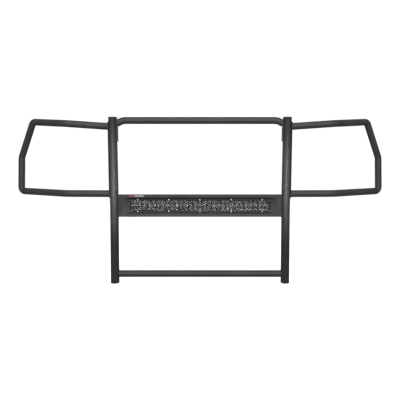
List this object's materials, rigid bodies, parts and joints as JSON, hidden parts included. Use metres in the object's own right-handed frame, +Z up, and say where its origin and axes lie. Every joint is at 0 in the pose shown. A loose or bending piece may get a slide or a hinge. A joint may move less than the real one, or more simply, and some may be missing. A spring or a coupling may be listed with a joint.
{
  "type": "truck front grille guard",
  "caption": "Tubular front grille guard with swept headlight cages, crossbars and a cover panel holding an aimable LED light bar.",
  "frame": {"origin": "centre of the four frame bolts, on the rear faces of the two frame bracket flanges", "axes": "+X across the vehicle, to the right as seen from the front; +Y rearwards towards the vehicle; +Z up. The names left_ and right_ mean -X and +X."},
  "size_m": [2.1064, 0.2569, 0.9092],
  "materials": {
    "black_powder_coat": "fine textured black powder coat over steel",
    "black_plastic": "satin moulded plastic",
    "black_fasteners": "black oxide",
    "zinc_fasteners": "zinc plated",
    "stainless_screws": "stainless",
    "light_alloy_black": "black anodised and painted alloy",
    "badge_enamel": "plain two-tone enamel, no lettering",
    "lens_clear": "clear polycarbonate",
    "gasket_rubber": "matt",
    "reflector_chrome": "vacuum metallised plastic, mirror bright",
    "circuit_board": "solder mask",
    "led_phosphor": "phosphor coated"
  },
  "bodies": {
    "guard": {"left_upright": "black_powder_coat", "right_upright": "black_powder_coat", "left_top_cap": "black_plastic", "right_top_cap": "black_plastic", "left_foot_cap": "black_plastic", "right_foot_cap": "black_plastic", "top_crossbar": "black_powder_coat", "left_crossbar_plate": "black_powder_coat", "right_crossbar_plate": "black_powder_coat", "lower_crossbar": "black_powder_coat", "left_headlight_cage": "black_powder_coat", "right_headlight_cage": "black_powder_coat", "left_cage_plate": "black_powder_coat", "right_cage_plate": "black_powder_coat", "plate_screws": "black_fasteners", "plate_weld_nuts": "zinc_fasteners", "left_rear_tab": "black_powder_coat", "right_rear_tab": "black_powder_coat", "left_frame_bracket": "black_powder_coat", "right_frame_bracket": "black_powder_coat", "bracket_bolts": "zinc_fasteners", "bracket_nuts": "zinc_fasteners", "bracket_washers": "zinc_fasteners", "cover_panel": "black_powder_coat", "panel_end_screws": "black_fasteners", "mesh_insert": "black_powder_coat", "mesh_screws": "stainless_screws", "mesh_nuts": "zinc_fasteners", "badge": "badge_enamel", "left_light_foot": "black_powder_coat", "right_light_foot": "black_powder_coat", "foot_bolts": "black_fasteners", "foot_nuts": "zinc_fasteners", "tilt_pins": "zinc_fasteners", "tilt_pin_nuts": "zinc_fasteners"},
    "light_bar": {"light_housing": "light_alloy_black", "left_light_lug": "light_alloy_black", "right_light_lug": "light_alloy_black", "left_light_cap": "light_alloy_black", "right_light_cap": "light_alloy_black", "light_cap_screws": "stainless_screws", "light_bezel": "light_alloy_black", "light_lens": "lens_clear", "lens_gasket": "gasket_rubber", "reflector_array": "reflector_chrome", "led_board": "circuit_board", "led_chips": "led_phosphor", "driver_cover": "light_alloy_black", "driver_board": "circuit_board", "cable_gland": "black_plastic", "breather_plug": "black_plastic"}
  },
  "joints": [
    {"name": "light_bar_tilt", "type": "hinge", "parent": "guard", "child": "light_bar", "pos_m": [0, -0.0897, 0.268], "axis": [1, 0, 0], "range_deg": [-6, 6]}
  ]
}
